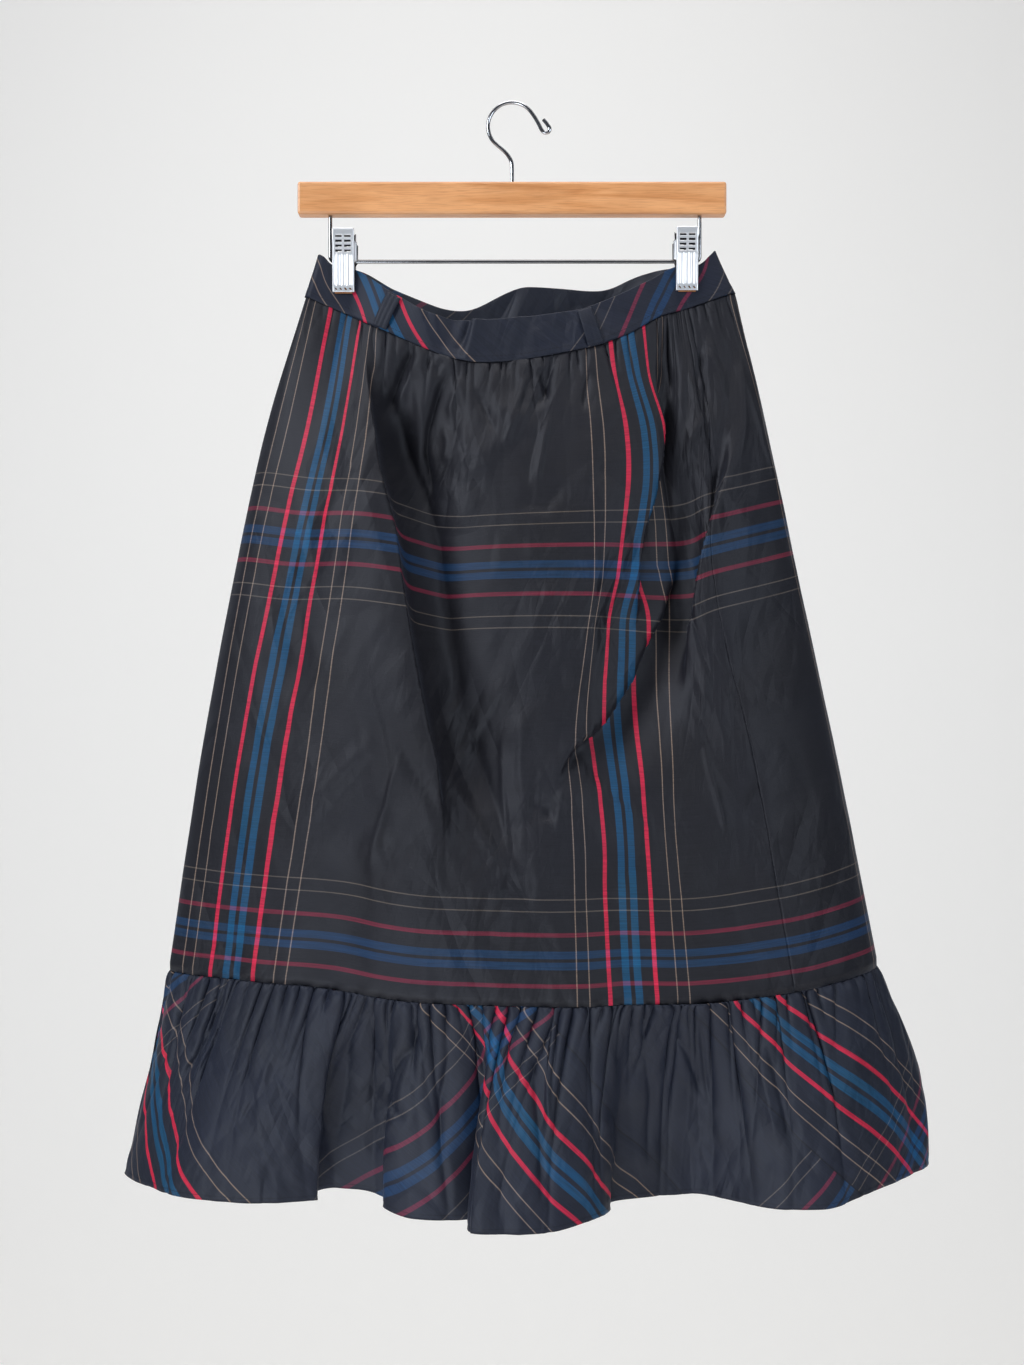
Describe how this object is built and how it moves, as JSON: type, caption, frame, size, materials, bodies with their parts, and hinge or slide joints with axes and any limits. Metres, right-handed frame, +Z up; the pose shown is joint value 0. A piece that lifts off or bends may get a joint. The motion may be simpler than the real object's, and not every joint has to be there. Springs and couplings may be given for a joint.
{
  "type": "tiered ruffle skirt on a clip hanger",
  "caption": "Plaid taffeta skirt with a gathered upper tier and a bias-cut ruffle, held by its waistband in the clips of a wooden hanger with a wire hook.",
  "frame": {"origin": "inside top of the hook's wire, where the hanger rests on a rail or peg", "axes": "+X to the viewer's right, +Y away from the viewer, +Z up"},
  "size_m": [0.693, 0.1509, 0.9189],
  "materials": {
    "taffeta": "crisp dark taffeta with a low sheen",
    "band taffeta": "the same taffeta folded double and pressed",
    "maple": "satin lacquer",
    "chrome": "bright plated steel",
    "clip pad": "matt"
  },
  "bodies": {
    "root": {"belt_loop_1": "band taffeta", "belt_loop_2": "band taffeta", "belt_loop_3": "band taffeta", "belt_loop_4": "band taffeta", "clip_left_back": "chrome", "clip_left_front": "chrome", "clip_left_pad_back": "clip pad", "clip_left_pad_front": "clip pad", "clip_left_spring": "chrome", "clip_right_back": "chrome", "clip_right_front": "chrome", "clip_right_pad_back": "clip pad", "clip_right_pad_front": "clip pad", "clip_right_spring": "chrome", "flounce_back": "taffeta", "flounce_front": "taffeta", "hanger_bar": "maple", "hanger_hook": "chrome", "hanger_rod": "chrome", "panel_back": "taffeta", "panel_front": "taffeta", "waistband_back": "band taffeta", "waistband_front": "band taffeta"}
  },
  "joints": []
}
